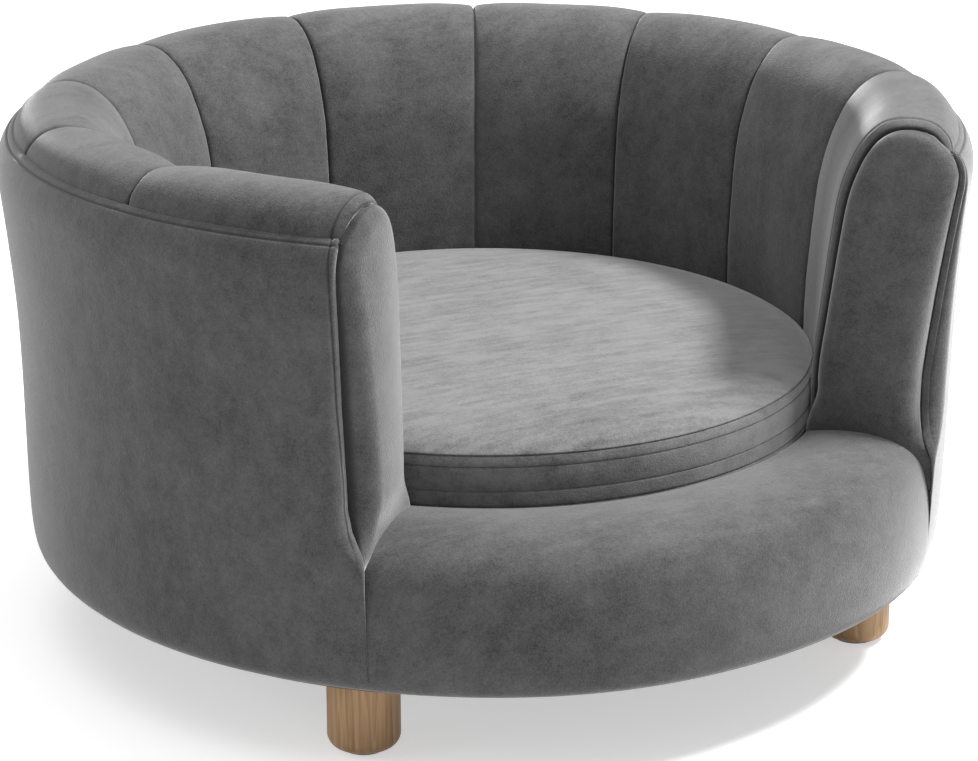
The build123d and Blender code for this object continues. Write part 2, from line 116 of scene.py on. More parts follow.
# %% [markdown]
# ## Cloth that starts flat
# Every cover begins as a flat grid, the way cloth is cut, and is then laid over the padding. A
# grid keeps its own rows and columns, so the seams can sit exactly on its edges. `lay` asks a rule
# where each place of the flat cloth goes. A little thickness, turned inwards, closes the sheet at
# its hems.

# %% Cut a flat cloth and lay it
def cut(name, columns, rows):
    """A flat grid of cloth, one unit wide and one unit high."""
    bpy.ops.object.select_all(action="DESELECT")
    bpy.ops.mesh.primitive_grid_add(
        x_subdivisions=columns, y_subdivisions=rows, size=1, location=(0, 0, 0))
    cloth = bpy.context.object
    cloth.name = cloth.data.name = name
    return cloth


def places_of(piece):
    """The places of a piece's vertices, a row for each."""
    flat = np.zeros(len(piece.data.vertices) * 3)
    piece.data.vertices.foreach_get("co", flat)
    return flat.reshape(-1, 3)


def move_to(piece, places):
    """Moves each vertex of a piece to its row's place."""
    piece.data.vertices.foreach_set("co", places.ravel())
    piece.data.update()


def paint_seam_shade(piece, depth):
    """Notes how deep each vertex lies in a stitched line, 0 to 1, for painted shade that darkens
    it.
    """
    seam_shades = piece.data.attributes.new("seam_shade", "FLOAT", "POINT")
    seam_shades.data.foreach_set("value", np.clip(depth, 0, 1).astype(np.float32))


def lay(cloth, rule, mirrored=False):
    """Moves a flat cloth to where the rule sends its shares across and up, pile side outwards."""
    across, up, _ = places_of(cloth).T + 0.5
    # The rule also says how much painted seam shade each vertex takes.
    places, seam_shades = rule(across, up)
    move_to(cloth, places)
    paint_seam_shade(cloth, seam_shades)
    if not mirrored:
        cloth.data.flip_normals()
    return cloth


# %% Close a cloth and give it its finish
def only(piece):
    """Selects one piece and nothing else."""
    bpy.ops.object.select_all(action="DESELECT")
    piece.select_set(True)
    bpy.context.view_layer.objects.active = piece


def close_up(piece, thickness, merge=0.0):
    """Gives the cloth its thickness inwards, after a merge of its doubles if that is asked for."""
    only(piece)
    if merge:
        bpy.ops.object.mode_set(mode="EDIT")
        bpy.ops.mesh.select_all(action="SELECT")
        bpy.ops.mesh.remove_doubles(threshold=merge * MM)
        bpy.ops.object.mode_set(mode="OBJECT")
    solid = piece.modifiers.new("thickness", "SOLIDIFY")
    solid.thickness = thickness * MM
    solid.offset = -1
    bpy.ops.object.modifier_apply(modifier=solid.name)
    bpy.ops.object.shade_smooth()
    return piece


def finish_piece(piece, body, material):
    """Gives a piece its finish and the body that it rides on."""
    piece.data.materials.clear()
    piece.data.materials.append(material)
    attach(piece, body)
    print(piece.name, len(piece.data.polygons), "faces")


# %% [markdown]
# ## Velvet
# Velvet looks dark where we look straight into its pile and bright where we graze it. The sheen of
# the Principled shader does just that, over a dark base. Cloudy patches are pile pressed this way
# and that, so they change the base colour a little. Fine grain comes from a small noise, and long
# faint strokes from a stretched one. All of it sits on Object coordinates, so it stays with the
# cloth. Stitched lines and the bottoms of the seams get painted shade, which darkens the colour
# there; an attribute on the mesh says where they lie.

# %% Small helpers for every finish
def noise(tree, coords, scale, detail, stretch=(1, 1, 1), turn=0.0):
    """A noise on the coordinates, stretched and turned as the pattern runs."""
    mapping = tree.nodes.new("ShaderNodeMapping")
    mapping.inputs["Scale"].default_value = stretch
    mapping.inputs["Rotation"].default_value = (0, 0, math.radians(turn))
    texture = tree.nodes.new("ShaderNodeTexNoise")
    texture.inputs["Scale"].default_value = scale
    texture.inputs["Detail"].default_value = detail
    tree.links.new(coords, mapping.inputs["Vector"])
    tree.links.new(mapping.outputs["Vector"], texture.inputs["Vector"])
    return texture.outputs["Fac"]


def spread(tree, value, low, high, from_low=0.3, from_high=0.7):
    """Maps a range of a value, such as a noise's middle range, onto the one that is needed."""
    ranged = tree.nodes.new("ShaderNodeMapRange")
    ranged.inputs["From Min"].default_value = from_low
    ranged.inputs["From Max"].default_value = from_high
    ranged.inputs["To Min"].default_value = low
    ranged.inputs["To Max"].default_value = high
    tree.links.new(value, ranged.inputs["Value"])
    return ranged.outputs["Result"]


def combine(tree, operation, first, second):
    """One Math node on two values, of which either may be a plain number."""
    node = tree.nodes.new("ShaderNodeMath")
    node.operation = operation
    for socket, value in zip(node.inputs, (first, second)):
        if isinstance(value, (int, float)):
            socket.default_value = value
        else:
            tree.links.new(value, socket)
    return node.outputs["Value"]


def new_finish(name, roughness, **constants):
    """A material, its shader and its Object coordinates."""
    material = bpy.data.materials.new(name)
    material.use_nodes = True
    tree = material.node_tree
    shader = tree.nodes["Principled BSDF"]
    shader.inputs["Roughness"].default_value = roughness
    for socket, value in constants.items():
        shader.inputs[socket.replace("_", " ")].default_value = value
    coords = tree.nodes.new("ShaderNodeTexCoord").outputs["Object"]
    return material, tree, shader, coords


def tint(tree, shader, strength, dark, light):
    """Colours the shader between two colours by a value from 0 to 1."""
    mix = tree.nodes.new("ShaderNodeMix")
    mix.data_type = "RGBA"
    mix.inputs["A"].default_value = (*dark, 1)
    mix.inputs["B"].default_value = (*light, 1)
    tree.links.new(strength, mix.inputs["Factor"])
    tree.links.new(mix.outputs["Result"], shader.inputs["Base Color"])


def bump(tree, shader, height, strength, distance):
    """Lets a value from 0 to 1 raise the surface by up to a distance in metres."""
    node = tree.nodes.new("ShaderNodeBump")
    node.inputs["Strength"].default_value = strength
    node.inputs["Distance"].default_value = distance
    tree.links.new(height, node.inputs["Height"])
    tree.links.new(node.outputs["Normal"], shader.inputs["Normal"])


# %% A velvet for each part of the sofa
pile_scale = 800            # of the finest noise, which also raises the surface


def velvet(name, dark, light, sheen, stroke_turn, strokes):
    """A velvet between two greys: clouds, grain and strokes of pressed pile, and painted seam
    shade.
    """
    material, tree, shader, coords = new_finish(
        name, 0.85, Sheen_Weight=sheen, Sheen_Roughness=0.42, Sheen_Tint=(1, 1, 1, 1),
        Specular_IOR_Level=0.12)
    look = 0.0
    layers = (
        (11, 4, (1, 1, 1), 0, 0.3),
        (48, 4, (1, 1.6, 1), 0, 0.25),
        (240, 3, (1, 1, 1), 0, 0.2),
        (26, 5, (1, 6, 4), stroke_turn, strokes),
    )
    for scale, detail, stretch, turn, weight in layers:
        layer = spread(tree, noise(tree, coords, scale, detail, stretch, turn), 0, weight)
        look = combine(tree, "ADD", layer, look)
    pile = spread(tree, noise(tree, coords, pile_scale, 3), 0, 1)
    look = combine(tree, "ADD", combine(tree, "MULTIPLY", pile, 0.4), look)
    # Painted shade: the seam attribute, 0 to 1, takes the colour down to the dark grey in seams.
    seam_shade = tree.nodes.new("ShaderNodeAttribute")
    seam_shade.attribute_name = "seam_shade"
    unshaded_share = combine(tree, "SUBTRACT", 1.0, seam_shade.outputs["Fac"])
    look = combine(tree, "MULTIPLY", look, unshaded_share)
    tint(tree, shader, look, (dark,) * 3, (light, light, light * 1.01))
    bump(tree, shader, pile, 0.3, 0.0005)
    return material


shell_velvet = velvet("shell_velvet", 0.016, 0.099, 0.64, 0, 0.15)
channel_velvet = velvet("channel_velvet", 0.014, 0.1, 0.43, 0, 0.15)
# The cushion's velvet has paler greys than the wall's: painted light for its top, which faces the
# lamps.
cushion_velvet = velvet("cushion_velvet", 0.024, 0.155, 0.78, 20, 0.42)
print("three velvets")

# %% [markdown]
# ## The wall's profile
# Cut through the wall, its seams run up the inside, roll over the top and end at the seam behind.
# Next to each place of that line stands how far the padding crowns out between two seams there:
# little beside the cushion, which presses on it, most where the wall starts to roll, and none at
# the outer seam. The arms are a little taller and fuller than the back, so there are two lines,
# and the wall turns from one into the other on its way round. On the left it does so sooner, as
# hand-filled padding never ends up quite the same on both sides.

# %% Lines of the wall
back_line = [
    (247, 152, 2.0), (245, 180, 3.0), (244.5, 212, 4.0), (245.5, 247, 5.5), (250.5, 303, 8.0),
    (257.5, 332, 8.5), (268, 357, 8.5), (279, 372, 8.0), (293, 382.5, 6.0), (308, 385.7, 3.2),
    (322, 382.5, 2.6), (331.5, 376, 2.0), (335.8, 369.8, 0.6), (335.8, 362, 0.0),
]
arm_line = [
    (247, 152, 2.0), (245.5, 180, 3.0), (246.5, 212, 4.0), (251, 247, 5.5), (258.5, 303, 8.0),
    (263.5, 334, 9.0), (270, 355, 9.0), (279, 373, 9.0), (292, 386.5, 8.0), (309.5, 392, 4.0),
    (324, 389, 3.0), (333.5, 380, 2.0), (336.8, 370.8, 0.6), (336.5, 362, 0.0),
]
arm_turn = 136.4            # from the back to the outer front edge of an arm
# Turns of the seams, hand-set and so not quite even
seam_turns = [105.5, 78.4, 52.5, 26.2, -2, -29.4, -54.3, -82, -108.4]
right_start, right_span = 80, 56    # the wall turns into an arm over these degrees on the right
left_start, left_span = 40, 80      # and over these on the left
channel_rows = 110
back_wall, back_places = smooth_line(back_line, channel_rows + 1)
arm_wall, arm_places = smooth_line(arm_line, channel_rows + 1)


def wall_at(turn, row):
    """Radius, height, crown, place along the line and normal of the wall for turns and rows."""
    right = np.clip((turn - right_start) / right_span, 0, 1) ** 1.5
    left = np.clip((-turn - left_start) / left_span, 0, 1) ** 1.2
    arm = (right + left)[:, None]
    line = back_wall[row] * (1 - arm) + arm_wall[row] * arm
    normal = normals_of(back_wall)[row] * (1 - arm) + normals_of(arm_wall)[row] * arm
    normal /= np.linalg.norm(normal, axis=1)[:, None]
    place = back_places[row] * (1 - arm[:, 0]) + arm_places[row] * arm[:, 0]
    return *line.T, place, normal


print("length of a channel", round(back_places[-1]), "to", round(arm_places[-1]), "mm")

# %% [markdown]
# ## Ten channels
# A channel is a strip of velvet stitched down both sides over a roll of padding. Between the
# stitches it swells, and at each seam it dives into a narrow groove with small puckers. The
# swelling is a rule here: steep at the seam, flat in the middle. The two end channels stop at the
# arms, where the cloth curls over the edge of the arm board instead.

# %% How the padding and its seams run
seam_reach = 46             # from a seam to where the padding is full
seam_depth = 2.6            # how deep a seam's groove is
arm_reach = 45              # from the front edge of an arm to where the padding is full
end_curl = 5.4              # how far the cloth turns over the edge of an arm
curl_reach = 8.5            # from that edge to where the cloth starts to turn
edge_stitch = 6.8           # from that edge to its stitched line
sweep_start = 110           # turn past which the cloth of an arm is drawn forward to its edge
uneven = 0.35               # how far the padding strays from its rule
# For radii, the turn of an arm's front edge
front_edge = [
    (244, 137.3), (260, 137.6), (285, 138.3), (308, 138.3), (325, 137.4), (338, 136.4),
    (400, 136.4),
]


def front_turn(radius):
    """Turn of an arm's front edge, whose top reaches further forward than its outer side."""
    return np.interp(radius, *np.array(front_edge).T)


def gathers(place, seed):
    """Small uneven puckers along a seam, from -1 to 1."""
    fine, middling = np.sin(place / 3.1 + seed * 1.7), np.sin(place / 5.3 + seed * 2.9)
    return (fine + middling + np.sin(place / 9.7 + seed)) / 3


def swell(distance, reach):
    """How full the padding is at a distance from a seam, from 0 to 1."""
    share = np.clip(distance / reach, 0, 1)
    return 0.55 * (1 - (1 - share) ** 2) + 0.45 * np.sqrt(1 - (1 - share) ** 2)


def curl(distance, reach):
    """How far cloth has turned over an edge: 1 at the edge, 0 from the reach on."""
    share = np.clip(1 - distance / reach, 0, 1)
    return 1 - np.sqrt(1 - share ** 2)


print("half its reach from a seam the padding is", round(swell(0.5, 1.0), 2), "full")

# %% Lay the ten channels
channel_columns = 110


def channel_rule(start, end, seed):
    """The rule that lays a channel between two turns; its columns are closest at the seams."""
    def rule(across, up):
        even = 2 * across - 1
        side = 0.32 * even + 0.68 * np.sin(even * math.pi / 2)
        turn = start + (end - start) * (side + 1) / 2
        row = np.rint(up * channel_rows).astype(int)
        radius, height, crown, place, normal = wall_at(turn, row)
        sweep = np.clip((np.abs(turn) - sweep_start) / (arm_turn - sweep_start), 0, 1) ** 2
        turn = turn + np.sign(turn) * (front_turn(radius) - arm_turn) * sweep
        width = np.radians(abs(end - start)) * radius
        from_start, from_end = width * (side + 1) / 2, width * (1 - side) / 2
        full = np.ones_like(across)
        drop = np.zeros_like(across)
        # Painted shade at the seams, at the arm edges and in the stitched line beside them.
        seam_shade = np.zeros_like(across)
        for distance, turn_there, number in ((from_start, start, seed), (from_end, end, seed + 1)):
            if abs(abs(turn_there) - arm_turn) < 0.01:
                full *= swell(distance, arm_reach) * 0.9 + 0.1
                drop += end_curl * curl(distance, curl_reach)
                drop += 1.3 * ridge(distance - edge_stitch, 0.8)
                seam_shade += 0.75 * ridge(distance - edge_stitch, 0.7) + ridge(distance, 0.7)
            else:
                full *= swell(distance, seam_reach)
                drop += (seam_depth + 0.35 * gathers(place, number)) * np.exp(-distance)
                drop += 0.3 * gathers(place, number + 0.5) * np.exp(-distance / 6)
                seam_shade += ridge(distance, 0.75)
        lift = crown * full - drop
        lift += uneven * np.sin(turn / 3.7 + seed) * np.sin(place / 31 + seed * 2) * full
        out = normal * lift[:, None]
        return around(turn, radius + out[:, 0], height + out[:, 1]), seam_shade
    return rule


seams = [arm_turn] + seam_turns + [-arm_turn]
for number, (start, end) in enumerate(zip(seams, seams[1:]), 1):
    pad = cut(f"channel_pad_{number:02d}", channel_columns, channel_rows)
    close_up(lay(pad, channel_rule(start, end, number)), 5)
    finish_piece(pad, "sofa", channel_velvet)
    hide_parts(f"channel_{number:02d}")

# %% [markdown]
# ## The outer cover
# One long piece of velvet is stretched round the outside. Its top is turned in at the seam and
# stitched down a finger's width below, so a small roll stands between the two lines. Its front
# edges curl over the arm boards and sweep forward at the foot, and its bottom is pulled under the
# base.

# %% Lines of the outer cover
outer_line = [
    (334.2, 367.3), (335.4, 370.4), (337.8, 370.8), (342.8, 367), (347, 359), (348.8, 350),
    (348.2, 336), (344.6, 300), (340.8, 250), (339.2, 200), (338.6, 160), (337.4, 108), (335.8, 80),
    (332.6, 67), (325, 60.8), (313, 60.2),
]
cover_rows = 150
fine_line, fine_places = smooth_line(outer_line, 2401)
shares = np.linspace(0, 1, cover_rows + 1)
cover_places = (0.24 * shares + 0.76 * shares ** 2) * fine_places[-1]
cover_line, cover_normals = (
    columns_at(cover_places, fine_places, line) for line in (fine_line, normals_of(fine_line)))
# For heights, the turn of a front edge and how far it is drawn in from the cover's face
edge_turn = [
    (60, 138.8), (100, 138.6), (140, 138.5), (150, 138.45), (156, 138.2), (160, 137.8),
    (165, 137.2), (172, 136.6), (186, 136.0), (216, 135.85), (258, 135.8), (332, 136.0),
    (349, 136.1), (364, 136.25), (400, 136.4),
]
edge_inset = [
    (60, 0.4), (110, 0.7), (139, 1.6), (151, 3.6), (158, 7.6), (166, 12.0), (180, 15.0),
    (205, 16.0), (250, 12.5), (300, 9.5), (335, 7.5), (350, 6.0), (366, 3.4), (400, 3.4),
]


def edge_at(height):
    """Turn of a front edge and how far it is drawn in, for heights."""
    return [np.interp(height, *np.array(table).T) for table in (edge_turn, edge_inset)]


print("outer cover", round(cover_places[-1]), "mm from the top seam to the underside")

# %% Lay the outer cover
cover_columns = 300
cover_half = 812            # from the middle of the back to a front edge
edge_column = 0.6           # width of the column at a front edge
corner_bend = 12            # the widest bend round an arm board's corner
topstitch = 10.4            # from the top seam to the line stitched below it
border_stitch = 6.6         # from a front edge to the line stitched beside it
stitch_width = 0.8
rail_foot = 150             # height at which the front edges leave the rail


def round_corner(way, inset):
    """How far back and how far in each place of a cloth lies that goes round a board's corner."""
    bend = np.minimum(corner_bend, inset)
    angle = np.clip((way - (inset - bend)) / bend, 0, math.pi / 2)
    back = bend * (1 - np.cos(angle)) + np.maximum(way - (inset - bend) - bend * math.pi / 2, 0)
    inwards = bend * (1 - np.sin(angle)) + np.maximum(inset - bend - way, 0)
    return back, inwards


def cover_rule(across, up):
    """Lays the cover; its columns are closest at its front edges and its rows at the top seam."""
    even = 2 * across - 1
    steps = (1 - np.abs(even)) * cover_columns / 2
    half = cover_columns / 2
    from_edge = edge_column * steps + (cover_half - edge_column * half) * (steps / half) ** 2.5
    side = np.sign(even) * (1 - from_edge / cover_half)
    row = np.rint((1 - up) * cover_rows).astype(int)
    radius, height = cover_line[row].T
    place = cover_places[row]
    edge, inset = edge_at(height)
    way = np.radians(edge * (1 - np.abs(side))) * radius
    back, inwards = round_corner(way, inset)
    turn = np.sign(side) * (edge - np.degrees(back / radius))
    at_topstitch = ridge(place - topstitch, stitch_width)
    above_rail = eased((height - rail_foot) / 25)
    at_border = ridge(way - border_stitch, stitch_width) * above_rail
    lift = 0.5 * ridge(place - 5.5, 2.5) - at_topstitch
    lift -= 1.1 * at_border + inwards
    lift += 0.9 * ridge(way - 2.6, 2.2) * above_rail
    lift += 0.5 * np.sin(turn / 9.1) * np.sin(place / 47 + turn / 30) * eased(place / 60)
    lift *= eased(place / 3)
    out = cover_normals[row] * lift[:, None]
    # Painted shade in the topstitch, the border stitch, the front edges and the top seam.
    seam_shade = 0.7 * at_topstitch + 0.7 * at_border + 0.9 * ridge(way, 0.6) + 0.6 * ridge(place, 1.5)
    return around(turn, radius + out[:, 0], height + out[:, 1]), seam_shade


outer_velvet = close_up(lay(cut("outer_velvet", cover_columns, cover_rows), cover_rule), 2.2)
finish_piece(outer_velvet, "sofa", shell_velvet)
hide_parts("outer_cover")

# %% [markdown]
# ## The arm ends
# Each arm is closed by a padded cap. Its border seam follows the wall's outline a few millimetres
# inside it, and the padding rounds forward from the seam to a nearly flat face. The cap is a cloth
# with one edge on the border; its opposite edge folds together on a line up the middle of the face
# and is merged there, so both sides take their points at the same heights. Low down the face
# sweeps out into the front rail.

# %% The border of an arm cap
side_points = 90
arch_points = 90
cap_foot = 126
fold_foot = 289             # radius of the fold line at the foot
heart = (304, 334)          # radius and height of its top


def cap_lines():
    """Radius, height and turn along the border, foot to foot, and the line that it folds to."""
    inner = arm_wall[:, :2] - normals_of(arm_wall) * (end_curl - 0.1 * arm_wall[:, 2:])
    inner = np.column_stack([inner, front_turn(arm_wall[:, 0])])
    edge, inset = edge_at(cover_line[:, 1])
    outer = np.column_stack([cover_line - cover_normals * inset[:, None], edge])
    # The wall is followed up the inside, the cover down the outside, and a shoulder joins them
    inner = inner[(arm_wall[:, 0] < 319) & (arm_wall[:, 1] > 188)]
    inner_foot = [(243.6, cap_foot, 137.3), (243.6, 150, 137.3), (244.6, 168, 137.3)]
    outer = outer[(outer[:, 1] > cap_foot) & (outer[:, 1] < 358) & (cover_line[:, 1] < 362)]
    shoulder = [
        (323, 383.8, 137.5), (329.5, 378.2, 137.0), (334.8, 372.6, 136.7), (339.4, 366.4, 136.5)]
    outer_foot = [(outer[-1, 0], cap_foot, outer[-1, 2])]
    held = np.vstack([inner_foot, inner[:-3:5], shoulder, outer[::5], outer_foot])
    line, _ = smooth_line(held, 2001)
    first, last = np.flatnonzero(line[:, 1] >= heart[1])[[0, -1]]
    heights = np.linspace(cap_foot, heart[1], side_points)
    inner_side, outer_side = (
        columns_at(heights, side[:, 1], side)
        for side in (line[:first + 1], line[last:][::-1]))
    arch = line[np.linspace(first, last, arch_points).astype(int)[1:-1]]
    border = np.vstack([inner_side, arch, outer_side[::-1]])
    fold = np.interp(border[:, 1], [cap_foot, heart[1]], [fold_foot, heart[0]])
    middle = np.stack([fold, np.minimum(border[:, 1], heart[1])], axis=-1)
    return border, middle


cap_border, cap_middle = cap_lines()
print("cap border", len(cap_border), "places, widest", round(np.ptp(cap_border[:, 0])), "mm")

# %% Lay the arm caps
cap_columns = len(cap_border) - 1
cap_rings = 30
face_turn = 140.2           # turn of the face where the padding is fullest
face_middle = 278           # radius there
face_half, face_fall = 50, 1.6      # this far from the middle the face falls back so many degrees
padding_reach = 14          # from the border to where the padding has rounded into the face


def cap_rule(hand):
    """The rule that lays the cap of the right arm for a hand of 1, and of the left arm for -1."""
    def rule(across, up):
        column = np.rint(across * cap_columns).astype(int)
        edge, core = cap_border[column, :2], cap_middle[column]
        reach = np.linalg.norm(core - edge, axis=1)
        inward = 0.25 * up + 0.75 * up ** 2.2
        place = edge + (core - edge) * inward[:, None]
        distance = reach * inward
        rounded = (1 - (1 - np.clip(distance / padding_reach, 0, 1)) ** 2.4) ** (1 / 2.2)
        face = face_turn - face_fall * ((place[:, 0] - face_middle) / face_half) ** 2
        # Low down the face sweeps out, and at the foot it goes under the rail's cloth
        low_face = 140.7 - 0.03 * (place[:, 0] - 250)
        face += (low_face - face) * eased((192 - place[:, 1]) / 28)
        face += (138.0 - face) * eased((154 - place[:, 1]) / 10)
        start = cap_border[column, 2]
        turn = start + (face - start) * rounded - 0.18 * np.exp(-distance / 0.9)
        turn = np.where(up < 0.5 / cap_rings, start - 0.6, turn)
        # Painted shade along the border seam of the cap.
        seam_shade = 0.9 * ridge(distance, 0.8)
        return around(hand * turn, place[:, 0], place[:, 1]), seam_shade
    return rule


for side_name, hand in (("right", 1), ("left", -1)):
    cap = cut(f"arm_pad_{side_name}", cap_columns, cap_rings)
    close_up(lay(cap, cap_rule(hand), mirrored=hand < 0), 4, merge=0.4)
    finish_piece(cap, "sofa", shell_velvet)
    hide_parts(f"arm_cap_{side_name}")

# %% [markdown]
# ## The front rail
# The rail is a low foam roll under its own piece of velvet. It dips to the cushion inside, crests
# near its middle and rounds down to the wall's line outside. Its ends run under the arm caps, and
# on the outside they meet the outer cover in an upright seam that is deepest at the foot of the
# arm.

# %% Lay the rail
rail_line = [
    (242.6, 146), (243.0, 157), (247.5, 162.8), (258, 165.6), (270, 166.6), (283, 166.6),
    (297, 164.6), (310, 160.6), (320.5, 154.6), (327.3, 146.5), (332, 134), (335.2, 116),
    (336.4, 95), (335.8, 77), (333, 66), (326, 60.8), (314, 60.2),
]
rail_rows = 110
rail_columns = 150
meeting_radius = 322        # past it the rail's end meets the outer cover
under_cap = 137.4           # turn to which the rail's top runs under an arm cap
end_gap = 0.05              # degrees between the rail's end and the cover's edge at the foot
end_tuck = 1.5              # degrees that it runs further under the arm, higher up
end_roll = 14               # from the rail's end to where its cloth starts to turn in
top_line, top_places = smooth_line(rail_line, rail_rows + 1)
top_normals = normals_of(top_line)


def rail_rule(across, up):
    """Lays the rail; its columns are closest at its ends."""
    even = 2 * across - 1
    side = np.sign(even) * (1 - (1 - np.abs(even)) ** 1.35)
    row = np.rint((1 - up) * rail_rows).astype(int)
    radius, height = top_line[row].T
    place = top_places[row]
    edge, inset = edge_at(height)
    end = edge - end_gap - end_tuck * eased((height - 85) / 25)
    inner_end = under_cap + (end - under_cap) * eased((162 - height) / 8)
    end = np.where(radius < meeting_radius, inner_end, end)
    turn = 180 + side * (180 - end)
    distance = np.radians((180 - end) * (1 - np.abs(side))) * radius
    lift = -np.minimum(inset, 1.5) * curl(distance, end_roll)
    lift += 0.5 * np.sin(turn / 8.3) * np.sin(place / 39)
    out = top_normals[row] * lift[:, None]
    # Painted shade in the seam where the rail's end meets the outer cover.
    seam_shade = 0.8 * ridge(distance, 0.6) * (radius > meeting_radius)
    return around(turn, radius + out[:, 0], height + out[:, 1]), seam_shade


rail_velvet = close_up(lay(cut("rail_velvet", rail_columns, rail_rows), rail_rule), 2.2)
finish_piece(rail_velvet, "sofa", shell_velvet)
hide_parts("rail_cover")

# %% [markdown]
# ## Turning an outline
# Round pieces are turned, as on a potter's wheel: one point grows into an outline by extruding,
# and the outline is spun once round the axis. The start and the end of the spin meet, so doubles
# are merged and the faces are pointed outwards.

# %% Turn an outline
def turned(name, outline, segments):
    """A round piece from radii and heights, which start and end on the axis."""
    radius, height = outline[0]
    bpy.ops.object.select_all(action="DESELECT")
    bpy.ops.mesh.primitive_plane_add(size=2 * MM, location=(radius * MM, 0, height * MM))
    piece = bpy.context.object
    piece.name = piece.data.name = name
    bpy.ops.object.transform_apply(location=True)
    bpy.ops.object.mode_set(mode="EDIT")
    bpy.ops.mesh.select_all(action="SELECT")
    bpy.ops.mesh.merge(type="CENTER")
    for (r1, z1), (r2, z2) in zip(outline, outline[1:]):
        step = ((r2 - r1) * MM, 0, (z2 - z1) * MM)
        bpy.ops.mesh.extrude_region_move(TRANSFORM_OT_translate={"value": step})
    bpy.ops.mesh.select_all(action="SELECT")
    bpy.ops.mesh.spin(steps=segments, angle=math.tau, center=(0, 0, 0), axis=(0, 0, 1))
    bpy.ops.mesh.select_all(action="SELECT")
    bpy.ops.mesh.remove_doubles(threshold=0.02 * MM)
    bpy.ops.mesh.select_all(action="SELECT")
    bpy.ops.mesh.normals_make_consistent(inside=False)
    bpy.ops.object.mode_set(mode="OBJECT")
    bpy.ops.object.shade_smooth()
    return piece


# %% [markdown]
# ## The seat cushion
# The cushion is a foam disc in a velvet case: a domed top, a band round its side with two flat
# welts stitched down, and a bottom. Each seam is a fine groove. The outline is drawn once round
# the cushion's section, with the grooves in it, and turned. At the back the band steps in behind
# the tape of the zip, so that the zip's tape, coil and slider lie in a shallow channel, a little
# behind the band's face.

# %% Turn the cushion
cushion_side = [
    (0, 215.2), (60, 215.0), (120, 214.0), (170, 212.3), (200, 210.2), (219, 207.4), (230, 203.8),
    (236.6, 200.0), (239.3, 197.8), (238.4, 197.0), (239.5, 196.1), (240.6, 192.6), (240.8, 190.0),
    (240.0, 189.2), (240.9, 188.4), (241.7, 180), (241.5, 173), (240.6, 172.2), (241.6, 171.4),
    (242.1, 166), (242.1, 162.4), (241.2, 161.6), (242.1, 160.6), (241.6, 157.4), (239, 154.6),
    (231, 153.9), (120, 153.9), (0, 153.9),
]
groove_heights = (197.0, 189.2, 172.2, 161.6)
fine_radius = 228           # from here outwards the outline keeps all its points
side_radius = 236           # and from here it counts as the side
cushion_outline, _ = smooth_line(cushion_side, 1301)
cushion_outline[:, 0] = np.maximum(cushion_outline[:, 0], 0)
kept = (cushion_outline[:, 0] > fine_radius) | (np.arange(len(cushion_outline)) % 14 == 0)
seat_cushion = turned("seat_cushion", cushion_outline[kept].tolist(), 260)
spots = places_of(seat_cushion) / MM
radii = np.hypot(spots[:, 0], spots[:, 1])
at_side = radii > side_radius
print("cushion outline", kept.sum(), "points")

# %% Make room for the zip
zip_clearance = 0.3         # between the cloth and the back of the zip's tape
over_tape = 1.2             # how far above and below the tape the cloth steps in
past_ends = 2.2             # degrees past the tape's ends at which it is back out
tape = places_of(frame["nodes"]["zip_tape"]) / MM
tape_low, tape_high = tape[:, 2].min(), tape[:, 2].max()
tape_turn = np.degrees(np.abs(np.arctan2(tape[:, 0], tape[:, 1]))).max()
tape_back = np.hypot(tape[:, 0], tape[:, 1]).min()
off_tape = np.abs(spots[:, 2] - (tape_low + tape_high) / 2) - (tape_high - tape_low) / 2
off_end = np.degrees(np.abs(np.arctan2(spots[:, 0], spots[:, 1]))) - tape_turn
sunk = eased(over_tape - off_tape) * eased((past_ends - off_end) / 1.5) * at_side
too_far = np.maximum(radii - tape_back + zip_clearance, 0)
spots[:, :2] *= (1 - sunk * too_far / np.maximum(radii, 1))[:, None]
move_to(seat_cushion, spots * MM)
# Painted shade in the grooves round the cushion's side, which darkens the colour there.
stitch_shade = sum(ridge(spots[:, 2] - height, 0.45) for height in groove_heights)
paint_seam_shade(seat_cushion, 0.32 * stitch_shade * at_side)
finish_piece(seat_cushion, "cushion", cushion_velvet)
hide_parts("cushion_core", "cushion_top", "cushion_boxing", "cushion_bottom")

# %% [markdown]
# ## Foam inside
# The foam of the wall and of the rail can't be seen, but the part should hold it. A merged copy of
# the CAD solid already has the right form, because foam is cut to shape. The copy is shrunk a
# little, so that it stays under the cloth, and where the wall ends at the front its outer corners
# are planed off.

# %% Foam
foam, tree, shader, coords = new_finish("foam", 0.95, Specular_IOR_Level=0.2)
cells = spread(tree, noise(tree, coords, 900, 2), 0, 1)
tint(tree, shader, cells, (0.68, 0.61, 0.45), (0.88, 0.83, 0.7))
bump(tree, shader, cells, 0.5, 0.0008)
arm_end = 137               # the wall's boards and foam end before this turn
planed_turn = 136.5         # where they end once they are planed
planed_start, planed_span = 312, 18     # from this radius on, and over this much of it,
planed_depth = 3.6          # so many degrees more come off the outer corner


